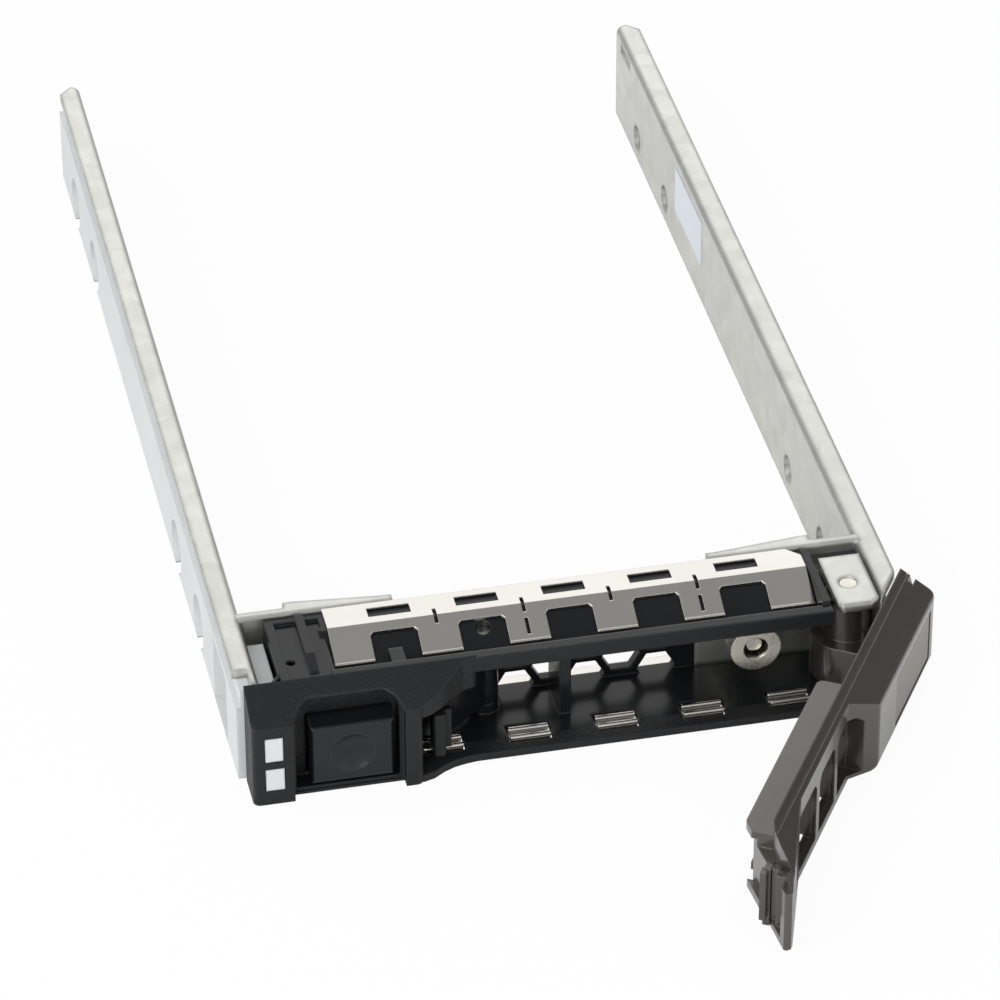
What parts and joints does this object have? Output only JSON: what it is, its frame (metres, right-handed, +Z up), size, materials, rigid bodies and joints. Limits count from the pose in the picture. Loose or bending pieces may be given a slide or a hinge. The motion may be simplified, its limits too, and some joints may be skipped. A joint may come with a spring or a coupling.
{
  "type": "hot swap drive caddy",
  "caption": "Open-frame drive caddy with two sheet-metal side rails and a vented black bezel with a push-button release and a swing-out ejector handle",
  "frame": {"origin": "middle of the flat of the lower spring clip, midway between the rails, 4 mm in front of the drive's front end", "axes": "X across the caddy to the hinge side, Y from the bezel to the rear of the rails, Z up"},
  "size_m": [0.0797, 0.1721, 0.013],
  "materials": {
    "galvanised": "bright zinc-coated sheet",
    "stainless": "thin polished stainless spring sheet",
    "black_plastic": "fine textured black moulding",
    "button_plastic": "smooth dark moulding",
    "frosted_plastic": "frosted white light guide",
    "handle_plastic": "bronze-grey satin",
    "label_panel": "grey-brown satin plain insert",
    "plated_steel": "nickel-plated",
    "spring_steel": "bright drawn wire",
    "label_paper": "plain white label"
  },
  "bodies": {
    "caddy": {"rail_left": "galvanised", "rail_right": "galvanised", "bezel": "black_plastic", "shield_clip_top": "stainless", "shield_clip_bottom": "stainless", "light_pipe": "frosted_plastic", "button_spring": "spring_steel", "latch_pin": "spring_steel", "hinge_bracket": "galvanised", "hinge_pin": "plated_steel", "handle_spring": "spring_steel", "collar": "plated_steel", "collar_rivet": "plated_steel", "tab_rivet_left": "plated_steel", "tab_rivet_right": "plated_steel", "rail_label": "label_paper"},
    "handle": {"handle_arm": "handle_plastic", "handle_cover": "handle_plastic", "handle_label_panel": "label_panel"},
    "button": {"release_button": "button_plastic"},
    "latch": {"latch_lever": "black_plastic"}
  },
  "joints": [
    {"name": "handle_swing", "type": "hinge", "parent": "caddy", "child": "handle", "pos_m": [0.0322, -0.0038, 0.0065], "axis": [0, 0, 1], "range_deg": [-58.3, 0], "stiffness_Nm_per_rad": 0.002, "springref_deg": 57.3},
    {"name": "button_press", "type": "slide", "parent": "caddy", "child": "button", "axis": [0, 1, 0], "range_m": [0, 0.0018], "stiffness_N_per_m": 400, "springref_m": -0.001, "deforming": ["button_spring"]},
    {"name": "latch_turn", "type": "hinge", "parent": "caddy", "child": "latch", "pos_m": [-0.009, -0.0016, 0.0055], "axis": [0, 0, 1], "range_deg": [-8, 0]}
  ],
  "couplings": [
    {"joint": "latch_turn", "follows": "button_press", "rad_per_m": -76.9}
  ]
}
